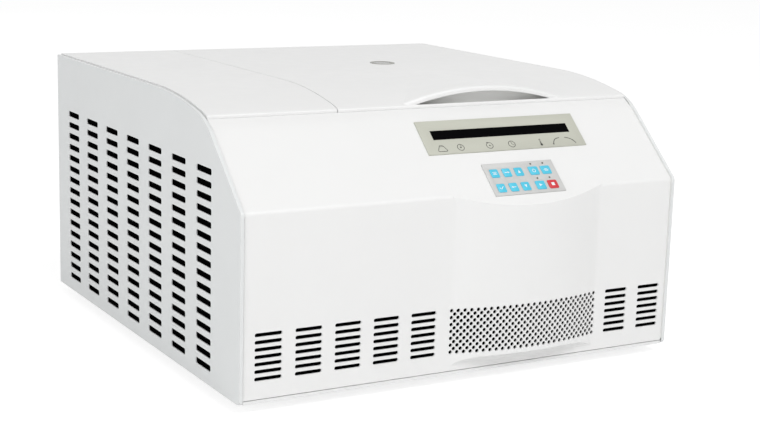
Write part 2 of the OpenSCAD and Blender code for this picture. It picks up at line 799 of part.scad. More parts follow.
// Mains inlet and its rocker switch in one moulding
socket_x = inlet_x - 13;
switch_x = inlet_x + 16;
switch_half_z = 13.5;
switch_half_x = 8;
rocker_y = back_y - 7;
module mains_inlet() {
    color("#202124") in_body() {
        difference() {
            union() {
                box([inlet_x - 32, back_y, inlet_z - 20], [inlet_x + 32, back_y + 1.6, inlet_z + 20]);
                box([inlet_x - inlet_half, back_y - 34, inlet_z - 16],
                    [inlet_x + inlet_half, back_y, inlet_z + 16]);
            }
            box([socket_x - 12, back_y - 16, inlet_z - 8.3], [socket_x + 12, back_y + 3, inlet_z + 8.3]);
            box([switch_x - switch_half_x, back_y - 18, inlet_z - switch_half_z],
                [switch_x + switch_half_x, back_y + 3, inlet_z + switch_half_z]);
            bar_x(switch_x - 10, switch_x + 10, rocker_y, inlet_z, 1.6);
        }
        for (p = [[-7, -2], [0, 2], [7, -2]])
            box([socket_x + p[0] - 1, back_y - 16, inlet_z + p[1] - 2.5],
                [socket_x + p[0] + 1, back_y - 4, inlet_z + p[1] + 2.5]);
    }
}

rocker_tilt = 8;
module power_rocker() {
    rocker_half = switch_half_z - 1;
    color("#151618") in_body() translate([switch_x, rocker_y, inlet_z]) rotate([-rocker_tilt, 0, 0]) {
        along_x(-switch_half_x + 0.5, switch_half_x - 0.5) polygon([
            [-6, -9], [4.6, -rocker_half], [3.2, 0], [4.6, rocker_half], [-6, 9]]);
        bar_x(-9.5, 9.5, 0, 0, 1.5);
    }
}

// Chamber: stainless bowl, rubber gasket, copper coil and foam round it
boot_r = 38;
boot_t = 3;
module chamber_bowl() {
    floor_r = 24;
    outer = [for (t = [0:15:90])
        [bowl_r + bowl_t - floor_r * (1 - cos(t)), bowl_z + floor_r * (1 - sin(t))]];
    inner = [for (t = [90:-15:0])
        [bowl_r - (floor_r - bowl_t) * (1 - cos(t)), bowl_z + bowl_t + (floor_r - bowl_t) * (1 - sin(t))]];
    color(steel) in_body() translate([chamber_x, chamber_y, 0]) rotate_extrude($fn = 96) polygon(concat(
        [[bowl_r + flange_w, deck_z], [bowl_r + bowl_t, deck_z]],
        outer,
        [[boot_r - boot_t, bowl_z], [boot_r - boot_t, bowl_z + bowl_t]],
        inner,
        [[bowl_r, gasket_z], [bowl_r + flange_w, gasket_z]]));
}

module chamber_gasket() {
    color(dark) in_body() translate([chamber_x, chamber_y, gasket_z]) rotate_extrude($fn = 96)
        translate([bowl_r + 2, 0]) polygon([
            [0, 0], [gasket_w, 0], [gasket_w, gasket_h * 0.4], [gasket_w * 0.75, gasket_h],
            [gasket_w * 0.25, gasket_h], [0, gasket_h * 0.4]]);
}

module chamber_insulation() {
    foam_low = bowl_z + 30;
    color("#d8d2b8") in_body() translate([chamber_x, chamber_y, 0]) difference() {
        translate([0, 0, foam_low]) cylinder(r = foam_r + foam_t, h = deck_z - sheet - 8 - foam_low, $fn = 96);
        translate([0, 0, foam_low - 1]) cylinder(r = foam_r, h = bowl_depth, $fn = 96);
    }
}

// Tubes round the bowl, joined by two upright headers
module evaporator_coil() {
    coil_low = bowl_z + 42;
    coil_pitch = 22;
    turns = 5;
    header_off = 12;
    coil_d = tube_d - 1;
    color("#b87333") in_body() translate([chamber_x, chamber_y, coil_low]) {
        for (k = [0:turns - 1]) translate([0, 0, k * coil_pitch])
            rotate_extrude($fn = 48) translate([coil_r, 0]) circle(d = coil_d, $fn = 16);
        for (side = [-1, 1])
            translate([-sqrt(coil_r * coil_r - header_off * header_off), side * header_off, 0])
                cylinder(d = coil_d - 0.5, h = (turns - 1) * coil_pitch, $fn = 16);
    }
}

// Drive: stand, rubber buffers, plate, motor and boot
module motor_stand() {
    leg = motor_r + 60;
    top_t = 4;
    color("#6b6f74") in_body() translate([chamber_x, chamber_y, 0]) difference() {
        union() {
            box([-leg, -leg, stand_z - top_t], [leg, leg, stand_z]);
            for (x = [-leg, leg - top_t]) box([x, -leg, tray_t], [x + top_t, leg, stand_z]);
        }
        translate([0, 0, stand_z - 9]) cylinder(r = motor_r + 8, h = 18);
    }
}

module rubber_buffers() {
    buffer_in = motor_r + 25;
    color(dark) in_body() {
        for (x = [-1, 1], y = [-1, 1])
            translate([chamber_x + x * buffer_in, chamber_y + y * buffer_in, stand_z]) rotate_extrude() polygon([
                [0, 0], [15, 0], [15, buffer_h * 0.2], [12, buffer_h * 0.5], [15, buffer_h * 0.8],
                [15, buffer_h], [0, buffer_h]]);
        compressor_feet() translate([0, 0, tray_t]) {
            cylinder(r = 11, h = mount_h);
            cylinder(r = 3.8, h = mount_h + 6);
        }
    }
}

module motor_plate() {
    reach = motor_r + 48;
    color(steel) in_body() translate([chamber_x, chamber_y, motor_plate_z]) difference() {
        linear_extrude(height = motor_plate_t) rounded_slot(2 * reach, 2 * reach, 20);
        translate([0, 0, -1]) cylinder(r = shaft_r + 8, h = motor_plate_t + 2);
    }
}

module motor_housing() {
    rib_h = motor_h - 20;
    color("#4a4d52") in_body() translate([chamber_x, chamber_y, motor_plate_z]) difference() {
        union() {
            translate([0, 0, -motor_h]) cylinder(r = motor_r - 4, h = motor_h);
            translate([0, 0, -motor_h + 10])
                for (a = [0:20:340]) rotate([0, 0, a]) translate([motor_r - 6, -1.5, 0])
                    cube([6, 3, rib_h]);
            cylinder(r = shaft_r + 7.5, h = motor_plate_t + 4);
        }
        translate([0, 0, -motor_h + 20]) cylinder(r = shaft_r + run_gap, h = motor_h + 20);
    }
}

module shaft_boot() {
    low = motor_plate_z + motor_plate_t;
    fold = (bowl_z - low) / 6;
    outer = [for (j = [0:6]) [boot_r - (j % 2) * 5, low + j * fold]];
    inner = [for (j = [6:-1:0]) [boot_r - boot_t - (j % 2) * 5, low + j * fold]];
    color(dark) in_body() translate([chamber_x, chamber_y, 0]) rotate_extrude()
        polygon(concat(outer, inner));
}

// Rotor: shaft, cross-shaped head, nut and four swing-out carriers
shaft_low = motor_plate_z - motor_h + 24;
head_top = pivot_z + arm_t / 2 + 4;
module drive_shaft() {
    color(steel) in_body() translate([chamber_x, chamber_y, 0]) {
        translate([0, 0, shaft_low]) cylinder(r = shaft_r, h = head_top + 4 - shaft_low);
        translate([0, 0, head_top + 4]) cylinder(r1 = shaft_r, r2 = shaft_r - 5, h = 8);
    }
}

end_play = 1;
boss_out = 3.5;
carrier_w = pocket_w + 2 * carrier_t;
carrier_l = pocket_l + 2 * carrier_t;
pivot_r = (carrier_w + carrier_l) / 2 + carrier_gap;
block_in = carrier_l / 2 + boss_out + end_play;
module rotor_head() {
    arm_half = 8;
    hub_r = 34;
    block_reach = 12;
    pin_in = boss_out + carrier_t - 1 + end_play;
    color("#9a9da2") in_body() translate([chamber_x, chamber_y, pivot_z]) difference() {
        union() {
            translate([0, 0, -arm_t / 2 - 6]) cylinder(r = hub_r, h = arm_t + 10);
            for (q = [0:3]) rotate([0, 0, 90 * q]) {
                rotate([0, 0, 45]) translate([0, -arm_half, -arm_t / 2])
                    cube([block_in * sqrt(2) + 6, 2 * arm_half, arm_t]);
                translate([0, 0, -arm_t / 2]) linear_extrude(height = arm_t) polygon([
                    [block_in, block_in], [pivot_r + block_reach, block_in],
                    [pivot_r + block_reach, block_in + 12], [block_in + 12, pivot_r + block_reach],
                    [block_in, pivot_r + block_reach]]);
                for (side = [-1, 1])
                    translate([pivot_r, side * block_in, 0]) rotate([side * 90, 0, 0])
                        translate([0, 0, -4]) cylinder(r = trunnion_r, h = pin_in + 4);
            }
        }
        translate([0, 0, -arm_t]) cylinder(r = shaft_r, h = 2 * arm_t + 9);
    }
}

module rotor_nut() {
    nut_r = 24;
    color("#3b3d41") in_body() translate([chamber_x, chamber_y, head_top]) difference() {
        union() {
            cylinder(r = nut_r, h = 14);
            for (a = [0:30:330]) rotate([0, 0, a]) translate([nut_r - 1, -1.5, 2]) cube([2.5, 3, 10]);
            translate([0, 0, 14]) cylinder(r1 = nut_r - 2, r2 = nut_r - 8, h = 6);
        }
        translate([0, 0, -1]) cylinder(r = shaft_r, h = 5);
        translate([0, 0, 4]) cylinder(r1 = shaft_r, r2 = shaft_r - 5, h = 8);
    }
}

module plate_carrier(q) {
    ear_r = 9;
    color("#b4b7bb") in_body() translate([chamber_x, chamber_y, pivot_z]) rotate([0, 0, 90 * (q - 1)])
        translate([pivot_r, 0, 0]) difference() {
            union() {
                box([-carrier_w / 2, -carrier_l / 2, -carrier_drop], [carrier_w / 2, carrier_l / 2, carrier_rise]);
                for (side = [-1, 1]) rotate([side * 90, 0, 0])
                    cylinder(r = ear_r, h = carrier_l / 2 + boss_out);
            }
            box([-pocket_w / 2, -pocket_l / 2, -carrier_drop + carrier_t],
                [pocket_w / 2, pocket_l / 2, carrier_rise + 1]);
            rotate([90, 0, 0]) translate([0, 0, -carrier_l])
                cylinder(r = trunnion_r + run_gap, h = 2 * carrier_l);
            translate([0, 0, -carrier_drop - 1]) linear_extrude(height = carrier_t + 2)
                rounded_slot(pocket_w - 30, pocket_l - 40, 8);
        }
}

// Cooling side: compressor, condenser, fan and pipes
terminal_out = 12;
compressor_x = cover_x - compressor_r - terminal_out - 8;
compressor_y = body_d - 164;
mount_h = 12;
module compressor_feet() {
    for (x = [-1, 1], y = [-1, 1])
        translate([compressor_x + x * (compressor_r - 10), compressor_y + y * compressor_r, 0])
            children();
}

module compressor() {
    dome = 30;
    bolt_r = 4;
    foot_w = 14;
    foot_z = 20;
    weld_z = 70;
    weld_h = 6;
    weld_out = 3;
    base_x = compressor_r + 2;
    base_y = compressor_r + 12;
    terminal_y = 22;
    low = tray_t + mount_h;
    color("#17181a") in_body() difference() {
        union() {
            translate([compressor_x, compressor_y, low]) rotate_extrude() polygon(concat(
                [[0, 3], [compressor_r - foot_w, 3], [compressor_r, foot_z], [compressor_r, weld_z],
                 [compressor_r + weld_out, weld_z], [compressor_r + weld_out, weld_z + weld_h],
                 [compressor_r, weld_z + weld_h]],
                [for (t = [0:15:90])
                    [compressor_r - dome * (1 - cos(t)), compressor_h - dome * (1 - sin(t))]],
                [[0, compressor_h]]));
            box([compressor_x - base_x, compressor_y - base_y, low],
                [compressor_x + base_x, compressor_y + base_y, low + 3]);
            box([compressor_x + compressor_r - 10, compressor_y - terminal_y, low + foot_z + 10],
                [compressor_x + compressor_r + terminal_out, compressor_y + terminal_y, low + weld_z - 4]);
        }
        compressor_feet() translate([0, 0, low - 1]) cylinder(r = bolt_r, h = 9);
    }
}

condenser_x = 24 - inner_x;
condenser_t = 36;
condenser_y = 70;
condenser_z = tray_t + 2;
module condenser() {
    fins = 34;
    groove = condenser_side / fins;
    color("#a9adb1") in_body() translate([condenser_x, condenser_y, condenser_z]) difference() {
        union() {
            cube([condenser_t, condenser_side, condenser_side]);
            box([-4, -2, -2], [condenser_t, 0, condenser_side + 2]);
            box([-4, condenser_side, -2], [condenser_t, condenser_side + 2, condenser_side + 2]);
        }
        for (j = [0:fins - 1])
            translate([-1, j * groove + 1, 4]) cube([10, groove - 2, condenser_side - 8]);
    }
}

fan_x = condenser_x + condenser_t;
fan_y = condenser_y + condenser_side / 2;
fan_z = condenser_z + condenser_side / 2;
fan_depth = 34;
hub_r = 24;
module fan_shroud() {
    frame_half = condenser_side / 2;
    strut_w = 8;
    color("#26282b") in_body() translate([fan_x, fan_y, fan_z]) {
        difference() {
            box([0, -frame_half, -frame_half], [3, frame_half, frame_half]);
            bar_x(-1, 4, 0, 0, fan_r + 3);
        }
        difference() {
            bar_x(0, fan_depth, 0, 0, fan_r + 6);
            bar_x(-1, fan_depth + 1, 0, 0, fan_r + 3);
        }
        bar_x(fan_depth - 10, fan_depth + 14, 0, 0, hub_r);
        for (a = [45:90:315]) rotate([a, 0, 0])
            box([fan_depth - 4, -strut_w / 2, hub_r - 2], [fan_depth, strut_w / 2, fan_r + 4]);
        bar_x(fan_depth - 14, fan_depth - 8, 0, 0, 3);
    }
}

module condenser_fan() {
    blade_pitch = 32;
    blade_l = fan_r - hub_r - 2;
    color("#3f4348") in_body() translate([fan_x + 5, fan_y, fan_z]) difference() {
        union() {
            bar_x(0, 17, 0, 0, hub_r);
            for (a = [0:360 / fan_blades:359]) rotate([a, 0, 0]) translate([8, 0, hub_r - 4])
                rotate([0, 0, blade_pitch]) translate([-1, -20, 0]) cube([2, 40, blade_l + 4]);
        }
        bar_x(12, 20, 0, 0, 3 + run_gap);
    }
}

// A tube made of straight lengths and bends: each step is [length, bend angle, roll before it]
pipe_bend = 18;
module pipe(steps, k = 0) {
    if (k < len(steps)) {
        step = steps[k];
        cylinder(d = tube_d, h = step[0]);
        translate([0, 0, step[0]]) rotate([0, 0, step[2]]) {
            if (step[1] > 0)
                translate([pipe_bend, 0, 0]) rotate([90, 0, 180])
                    rotate_extrude(angle = step[1]) translate([pipe_bend, 0]) circle(d = tube_d, $fn = 24);
            translate([pipe_bend, 0, 0]) rotate([0, step[1], 0]) translate([-pipe_bend, 0, 0])
                pipe(steps, k + 1);
        }
    }
}

module refrigerant_pipes() {
    end_y = condenser_y + condenser_side + 2;
    mid_x = condenser_x + condenser_t / 2;
    turns = 4;
    turn_pitch = 40;
    turn_r = 10;
    top_z = tray_t + mount_h + compressor_h;
    gas_z = top_z + pipe_bend + 3;
    gas_x = compressor_x - 10;
    suction_x = compressor_x + 15;
    wall_x = cover_x - sheet - 1;
    liquid_z = condenser_z + 10;
    liquid_out = 30;
    drier_y = end_y + liquid_out + pipe_bend;
    drier_z = liquid_z + pipe_bend;
    drier_l = 122;
    color("#b87333") in_body() {
        // Return bends at the back end of the condenser
        for (k = [1:turns])
            translate([mid_x, end_y, condenser_z + k * turn_pitch]) rotate([90, 0, 90])
                rotate_extrude(angle = 180, start = -90) translate([turn_r, 0])
                    circle(d = tube_d, $fn = 24);
        // Hot gas line from the condenser to the compressor
        translate([mid_x, end_y, gas_z]) rotate([-90, 0, 0])
            pipe([[compressor_y - 20 - end_y - pipe_bend, 90, 0],
                  [gas_x - mid_x - 2 * pipe_bend, 90, 90],
                  [gas_z - top_z - pipe_bend, 0, 0]]);
        // Suction line from the compressor to the partition
        translate([suction_x, compressor_y + 15, top_z])
            pipe([[12, 90, 0], [wall_x - suction_x - pipe_bend, 0, 0]]);
        // Liquid line through the filter drier to the partition
        translate([mid_x, end_y, liquid_z]) rotate([-90, 0, 0])
            pipe([[liquid_out, 90, -90]]);
        translate([mid_x, drier_y, drier_z]) rotate_extrude() polygon([
            [0, 0], [4, 0], [4, 14], [11, 24], [11, 98], [4, 108], [4, drier_l], [0, drier_l]]);
        translate([mid_x, drier_y, drier_z + drier_l])
            pipe([[1, 90, 0], [wall_x - mid_x - pipe_bend, 0, 0]]);
    }
}

module drive_inverter() {
    box_w = 110;
    box_d = 74;
    box_h = 188;
    fin_pitch = 11;
    fin_gap = 6;
    fin_l = 14;
    fins = 9;
    color("#8d9196") in_body() translate([inner_x - 24 - box_w, foot_inset + 15, tray_t]) difference() {
        cube([box_w, box_d, box_h]);
        for (j = [0:fins - 1])
            translate([8 + j * fin_pitch, box_d - fin_l, 18]) cube([fin_gap, fin_l + 1, box_h - 28]);
    }
}

base_tray();
rubber_feet();
left_side_panel();
right_side_panel();
rear_panel();
front_panel();
top_cover();
top_deck();
partition_wall();
panel_screws();
display_plate();
display_window();
keypad_plate();
indicator_lamps();
control_board();
drive_inverter();
mains_inlet();
power_rocker();
hinge_brackets();
hinge_pins();
hinge_washers();
latch_housing();
latch_hook();
lid_shell();
lid_liner();
lid_hinge_arms();
lid_striker();
sight_glass();
sight_glass_ring();
chamber_bowl();
chamber_insulation();
chamber_gasket();
evaporator_coil();
motor_stand();
rubber_buffers();
motor_plate();
motor_housing();
shaft_boot();
drive_shaft();
rotor_head();
rotor_nut();
compressor();
condenser();
fan_shroud();
condenser_fan();
refrigerant_pipes();
key(1, 1);  // key_1_1
key(1, 2);  // key_1_2
key(1, 3);  // key_1_3
key(1, 4);  // key_1_4
key(1, 5);  // key_1_5
key(2, 1);  // key_2_1
key(2, 2);  // key_2_2
key(2, 3);  // key_2_3
key(2, 4);  // key_2_4
key(2, 5);  // key_2_5
plate_carrier(1);  // plate_carrier_1
plate_carrier(2);  // plate_carrier_2
plate_carrier(3);  // plate_carrier_3
plate_carrier(4);  // plate_carrier_4
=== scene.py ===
"""Looks of the microplate centrifuge: materials, printed marks, near-black sheets of painted shade behind the
slots, seam strips, studio and camera.
"""

import json
import math

import bmesh
import bpy
from mathutils import Matrix, Vector


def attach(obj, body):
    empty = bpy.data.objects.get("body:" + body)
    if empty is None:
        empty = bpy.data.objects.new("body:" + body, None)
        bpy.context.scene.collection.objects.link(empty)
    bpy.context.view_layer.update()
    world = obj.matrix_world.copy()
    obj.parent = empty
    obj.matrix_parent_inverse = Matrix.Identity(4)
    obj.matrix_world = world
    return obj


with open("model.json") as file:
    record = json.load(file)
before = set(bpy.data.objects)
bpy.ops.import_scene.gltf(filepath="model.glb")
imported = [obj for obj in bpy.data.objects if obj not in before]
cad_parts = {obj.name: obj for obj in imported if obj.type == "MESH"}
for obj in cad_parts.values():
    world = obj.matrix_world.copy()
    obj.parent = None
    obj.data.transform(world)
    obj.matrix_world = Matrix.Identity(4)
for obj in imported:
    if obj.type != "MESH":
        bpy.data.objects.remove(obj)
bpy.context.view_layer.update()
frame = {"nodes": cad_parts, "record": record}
NODES = frame["nodes"]

MM = 0.001

# The body's own frame in the row frame: the flat front, the lower edge of the base
FRONT_Y = -353 * MM
BASE_Z = 14 * MM
KINK_Z = 255 * MM
SLOPE = math.radians(42.3)
PANEL_X = 93 * MM
DISPLAY_S = 103 * MM
KEYPAD_S = 22.5 * MM
PLATE_T = 1.6 * MM
MARK_T = 0.12 * MM


# Node trees


def new_material(name):
    material = bpy.data.materials.new(name)
    material.use_nodes = True
    tree = material.node_tree
    return material, tree, tree.nodes["Principled BSDF"]


def add(tree, kind, **settings):
    node = tree.nodes.new("ShaderNode" + kind)
    for key, value in settings.items():
        setattr(node, key, value)
    return node


def object_coordinates(tree):
    return add(tree, "TexCoord").outputs["Object"]


def noise(tree, scale, detail=3.0, rough=0.55):
    node = add(tree, "TexNoise")
    node.inputs["Scale"].default_value = scale
    node.inputs["Detail"].default_value = detail
    node.inputs["Roughness"].default_value = rough
    tree.links.new(object_coordinates(tree), node.inputs["Vector"])
    return node.outputs["Fac"]


def ramp(tree, source, low, high, at=(0.3, 0.7)):
    """A value that runs between two numbers or two colours."""
    node = add(tree, "ValToRGB")
    for element, place, value in zip(node.color_ramp.elements, at, (low, high)):
        element.position = place
        element.color = (value, value, value, 1) if isinstance(value, float) else (*value, 1)
    tree.links.new(source, node.inputs["Fac"])
    return node.outputs["Color"]


def shade(colour, share):
    return tuple(c * share for c in colour)


def edge_scuff_and_highlight_mask(tree, radius=0.0015):
    """1 along sharp edges and 0 elsewhere: the mask for an edge tint that is partly worn edge and partly
    painted highlight.
    """
    bevel = add(tree, "Bevel", samples=4)
    bevel.inputs["Radius"].default_value = radius
    geometry = add(tree, "NewGeometry")
    dot = add(tree, "VectorMath", operation="DOT_PRODUCT")
    tree.links.new(bevel.outputs["Normal"], dot.inputs[0])
    tree.links.new(geometry.outputs["Normal"], dot.inputs[1])
    return ramp(tree, dot.outputs["Value"], 1.0, 0.0, (0.86, 0.995))


def mix_colour(tree, factor, a, b):
    node = add(tree, "Mix", data_type="RGBA")
    tree.links.new(factor, node.inputs["Factor"])
    for socket, value in ((node.inputs["A"], a), (node.inputs["B"], b)):
        if isinstance(value, tuple):
            socket.default_value = (*value, 1)
        else:
            tree.links.new(value, socket)
    return node.outputs["Result"]


def bump(tree, shader, height, strength, distance, rounding=None):
    node = add(tree, "Bump")
    if rounding:
        bevel = add(tree, "Bevel", samples=4)
        bevel.inputs["Radius"].default_value = rounding
        tree.links.new(bevel.outputs["Normal"], node.inputs["Normal"])
    node.inputs["Strength"].default_value = strength
    node.inputs["Distance"].default_value = distance
    tree.links.new(height, node.inputs["Height"])
    tree.links.new(node.outputs["Normal"], shader.inputs["Normal"])


def surface(name, colour, rough, metal=0.0, spread=0.05, grain=900, relief=0.05, scuff_and_highlight=None,
            specular=0.5, patch=6.0, tone=0.96, depth=0.0004, rounding=None):
    """A moulded, painted or metal surface: faint patches of tone, uneven gloss, fine grain, and lighter edges
    that are partly worn and partly painted highlight.
    """
    material, tree, shader = new_material(name)
    shader.inputs["Metallic"].default_value = metal
    shader.inputs["Specular IOR Level"].default_value = specular
    patches = noise(tree, patch)
    base = ramp(tree, patches, shade(colour, tone), colour)
    # Lighter edges: partly worn, partly a painted highlight along them.
    if scuff_and_highlight is not None:
        base = mix_colour(tree, edge_scuff_and_highlight_mask(tree), base, scuff_and_highlight)
    tree.links.new(base, shader.inputs["Base Color"])
    gloss = noise(tree, patch * 7, 5.0)
    tree.links.new(ramp(tree, gloss, rough - spread, rough + spread), shader.inputs["Roughness"])
    bump(tree, shader, noise(tree, grain, 2.0), relief, depth, rounding)
    return material


def brushed(name, colour, rough, axis=0, stretch=60.0, scuff_and_highlight=(0.75, 0.76, 0.78)):
    """Metal with fine lines along one axis."""
    material, tree, shader = new_material(name)
    shader.inputs["Metallic"].default_value = 1.0
    mapping = add(tree, "Mapping")
    scale = [900.0, 900.0, 900.0]
    scale[axis] /= stretch
    mapping.inputs["Scale"].default_value = scale
    tree.links.new(object_coordinates(tree), mapping.inputs["Vector"])
    lines = add(tree, "TexNoise")
    lines.inputs["Scale"].default_value = 1.0
    lines.inputs["Detail"].default_value = 4.0
    tree.links.new(mapping.outputs["Vector"], lines.inputs["Vector"])
    fac = lines.outputs["Fac"]
    base = ramp(tree, fac, shade(colour, 0.82), colour)
    # Lighter edges: partly worn, partly a painted highlight along them.
    tree.links.new(mix_colour(tree, edge_scuff_and_highlight_mask(tree), base, scuff_and_highlight), shader.inputs["Base Color"])
    tree.links.new(ramp(tree, fac, rough - 0.07, rough + 0.1), shader.inputs["Roughness"])
    bump(tree, shader, fac, 0.12, 0.0002)
    return material


def foam(name, colour, cell, specular=0.1):
    """Open-cell foam: dark cells in a rough sheet."""
    material, tree, shader = new_material(name)
    cells = add(tree, "TexVoronoi")
    cells.inputs["Scale"].default_value = cell
    tree.links.new(object_coordinates(tree), cells.inputs["Vector"])
    distance = cells.outputs["Distance"]
    tree.links.new(ramp(tree, distance, shade(colour, 0.5), colour), shader.inputs["Base Color"])
    tree.links.new(ramp(tree, distance, 0.85, 1.0), shader.inputs["Roughness"])
    shader.inputs["Specular IOR Level"].default_value = specular
    bump(tree, shader, distance, 0.6, 0.001)
    return material


def smoked_glass(name):
    material, tree, shader = new_material(name)
    shader.inputs["Transmission Weight"].default_value = 0.85
    shader.inputs["IOR"].default_value = 1.49
    base = ramp(tree, noise(tree, 20), (0.24, 0.25, 0.24), (0.32, 0.33, 0.31))
    tree.links.new(base, shader.inputs["Base Color"])
    tree.links.new(ramp(tree, noise(tree, 120, 5.0), 0.03, 0.09), shader.inputs["Roughness"])
    return material


def ink(name, colour):
    return surface(name, colour, 0.55, spread=0.08, grain=2500, relief=0.02, specular=0.3, tone=0.85)


WHITE = (0.80, 0.80, 0.795)
# Each edge tint below is lighter than its colour: partly worn edges, partly a painted highlight.
LOOKS = {
    "white_plastic": surface("white_plastic", WHITE, 0.36, spread=0.05, relief=0.035, scuff_and_highlight=(0.84, 0.84, 0.84),
                             specular=0.4, tone=0.985, rounding=0.0009),
    "painted_steel": surface("painted_steel", (0.78, 0.785, 0.78), 0.42, grain=700, relief=0.09, tone=0.98,
                             scuff_and_highlight=(0.82, 0.82, 0.82), rounding=0.0007),
    "grey_painted_steel": surface("grey_painted_steel", (0.72, 0.735, 0.735), 0.42, grain=700, relief=0.09,
                                  tone=0.98, scuff_and_highlight=(0.80, 0.80, 0.80), rounding=0.0007),
    "zinc_steel": brushed("zinc_steel", (0.56, 0.57, 0.58), 0.36, axis=0),
    "screw_steel": brushed("screw_steel", (0.60, 0.61, 0.62), 0.25, axis=2),
    "black_rubber": surface("black_rubber", (0.018, 0.018, 0.019), 0.75, grain=1200, relief=0.2,
                            scuff_and_highlight=(0.04, 0.04, 0.04), specular=0.3, tone=0.8),
    "display_sheet": surface("display_sheet", (0.495, 0.50, 0.43), 0.5, grain=1800, relief=0.05, tone=0.97),
    "keypad_sheet": surface("keypad_sheet", (0.56, 0.56, 0.55), 0.5, grain=1800, relief=0.05, tone=0.97),
    "dark_window": surface("dark_window", (0.0015, 0.0015, 0.002), 0.3, spread=0.04, relief=0.0, specular=0.01,
                           tone=0.7),
    "lamp": surface("lamp", (0.10, 0.11, 0.09), 0.3, relief=0.02, tone=0.7),
    "cyan_key": surface("cyan_key", (0.062, 0.53, 0.72), 0.42, grain=1500, relief=0.05, tone=0.95,
                        scuff_and_highlight=(0.12, 0.62, 0.80)),
    "red_key": surface("red_key", (0.60, 0.014, 0.026), 0.42, grain=1500, relief=0.05, tone=0.93,
                       scuff_and_highlight=(0.66, 0.05, 0.06)),
    "green_board": surface("green_board", (0.02, 0.16, 0.05), 0.35, grain=600, relief=0.2, patch=90, tone=0.6),
    "cast_aluminium": surface("cast_aluminium", (0.42, 0.43, 0.44), 0.48, metal=1.0, grain=500, relief=0.25,
                              scuff_and_highlight=(0.62, 0.62, 0.63), tone=0.85, rounding=0.001),
    "rotor_aluminium": surface("rotor_aluminium", (0.50, 0.51, 0.53), 0.33, metal=1.0, grain=900, relief=0.06,
                               scuff_and_highlight=(0.74, 0.75, 0.76), tone=0.9, rounding=0.001),
    "black_plastic": surface("black_plastic", (0.022, 0.022, 0.024), 0.5, grain=900, relief=0.12,
                             scuff_and_highlight=(0.06, 0.06, 0.06), tone=0.8, rounding=0.0007),
    # Pale liner plastic, set lighter than the white shell: painted light for the shaded finger recess under
    # the lid's lip.
    "liner_plastic": surface("liner_plastic", (0.86, 0.86, 0.84), 0.5, grain=700, relief=0.08, tone=0.97,
                             rounding=0.001),
    "sight_glass": smoked_glass("sight_glass"),
    "stainless": brushed("stainless", (0.58, 0.59, 0.60), 0.28, axis=2, stretch=8.0),
    "foam": foam("foam", (0.62, 0.57, 0.42), 350),
    "copper": surface("copper", (0.62, 0.27, 0.14), 0.3, metal=1.0, patch=30, grain=400, relief=0.1,
                      scuff_and_highlight=(0.8, 0.42, 0.26), tone=0.6),
    "compressor_black": surface("compressor_black", (0.012, 0.012, 0.013), 0.3, grain=300, relief=0.1,
                                scuff_and_highlight=(0.05, 0.05, 0.05), tone=0.7, rounding=0.001),
}
# The ring round the sight glass is paler than the other moulded black pieces
PALE_RING = surface("pale_ring", (0.36, 0.36, 0.33), 0.5, grain=900, relief=0.1, tone=0.9, rounding=0.0006)
# A near-black foam sheet: painted shade for the dark inside seen through the slots
SLOT_SHADE = foam("slot_shade_sheet", (0.0018, 0.0018, 0.002), 500, specular=0.0)
DARK_INK = ink("dark_ink", (0.05, 0.05, 0.045))
WHITE_INK = ink("white_ink", (0.86, 0.90, 0.92))

# Edge radius of each small block in millimetres; the shader rounds the edges of the larger sheets and castings
EDGES = {
    "display_plate": 0.25, "keypad_plate": 0.25, "rotor_nut": 0.8, "mains_inlet": 0.5, "power_rocker": 0.6,
    "hinge_brackets": 0.6, "lid_hinge_arms": 0.6, "lid_striker": 0.5, "latch_hook": 0.6, "latch_housing": 0.4,
    "drive_inverter": 0.6, "sight_glass_ring": 0.4, "rubber_feet": 1.0,
}
EDGES.update({f"plate_carrier_{n}": 0.7 for n in range(1, 5)})
EDGES.update({f"key_{row}_{column}": 0.35 for row in (1, 2) for column in range(1, 6)})
SHARP = math.radians(28)
FLAT = math.radians(0.4)
# Points nearer than this are one point, in metres
WELD_DISTANCE = 0.00001


def dress(node, slot):
    node.data.materials.clear()
    node.data.materials.append(LOOKS[slot])


def round_edges(node, width):
    """Merges the split points and flat triangles, then rounds every sharp edge."""
    node.data.shade_smooth()
    weld = node.modifiers.new("weld", "WELD")
    weld.merge_threshold = WELD_DISTANCE
    flat = node.modifiers.new("flat", "DECIMATE")
    flat.decimate_type = "DISSOLVE"
    flat.angle_limit = FLAT
    bevel = node.modifiers.new("edges", "BEVEL")
    bevel.width = width * MM
    bevel.segments = 2
    bevel.limit_method = "ANGLE"
    bevel.angle_limit = SHARP
    bevel.use_clamp_overlap = True
    bevel.harden_normals = True


for entry in frame["record"]["subparts"]:
    name = entry["node"]
    dress(NODES[name], entry["material_slot"])
    if name in EDGES:
        round_edges(NODES[name], EDGES[name])
NODES["sight_glass_ring"].data.materials[0] = PALE_RING


# Flat marks on the slope


def slope_matrix(x, s, height):
    """A frame on the slope: x along the machine's width, y up the slope, z out of it."""
    place = Vector((PANEL_X + x, FRONT_Y, BASE_Z + KINK_Z))
    turn = Matrix.Rotation(SLOPE, 4, "X")
    return Matrix.Translation(place) @ turn @ Matrix.Translation((0, s, height))


def outline_mesh(name, loops, thickness):
    """Closed flat loops, each turned into a thin plate."""
    bm = bmesh.new()
    for loop in loops:
        low = [bm.verts.new((x, y, 0)) for x, y in loop]
        high = [bm.verts.new((x, y, thickness)) for x, y in loop]
        bm.faces.new(high)
        bm.faces.new(list(reversed(low)))
        for k in range(len(loop)):
            j = (k + 1) % len(loop)
            bm.faces.new((low[k], low[j], high[j], high[k]))
    bmesh.ops.recalc_face_normals(bm, faces=bm.faces)
    mesh = bpy.data.meshes.new(name)
    bm.to_mesh(mesh)
    bm.free()
    return mesh


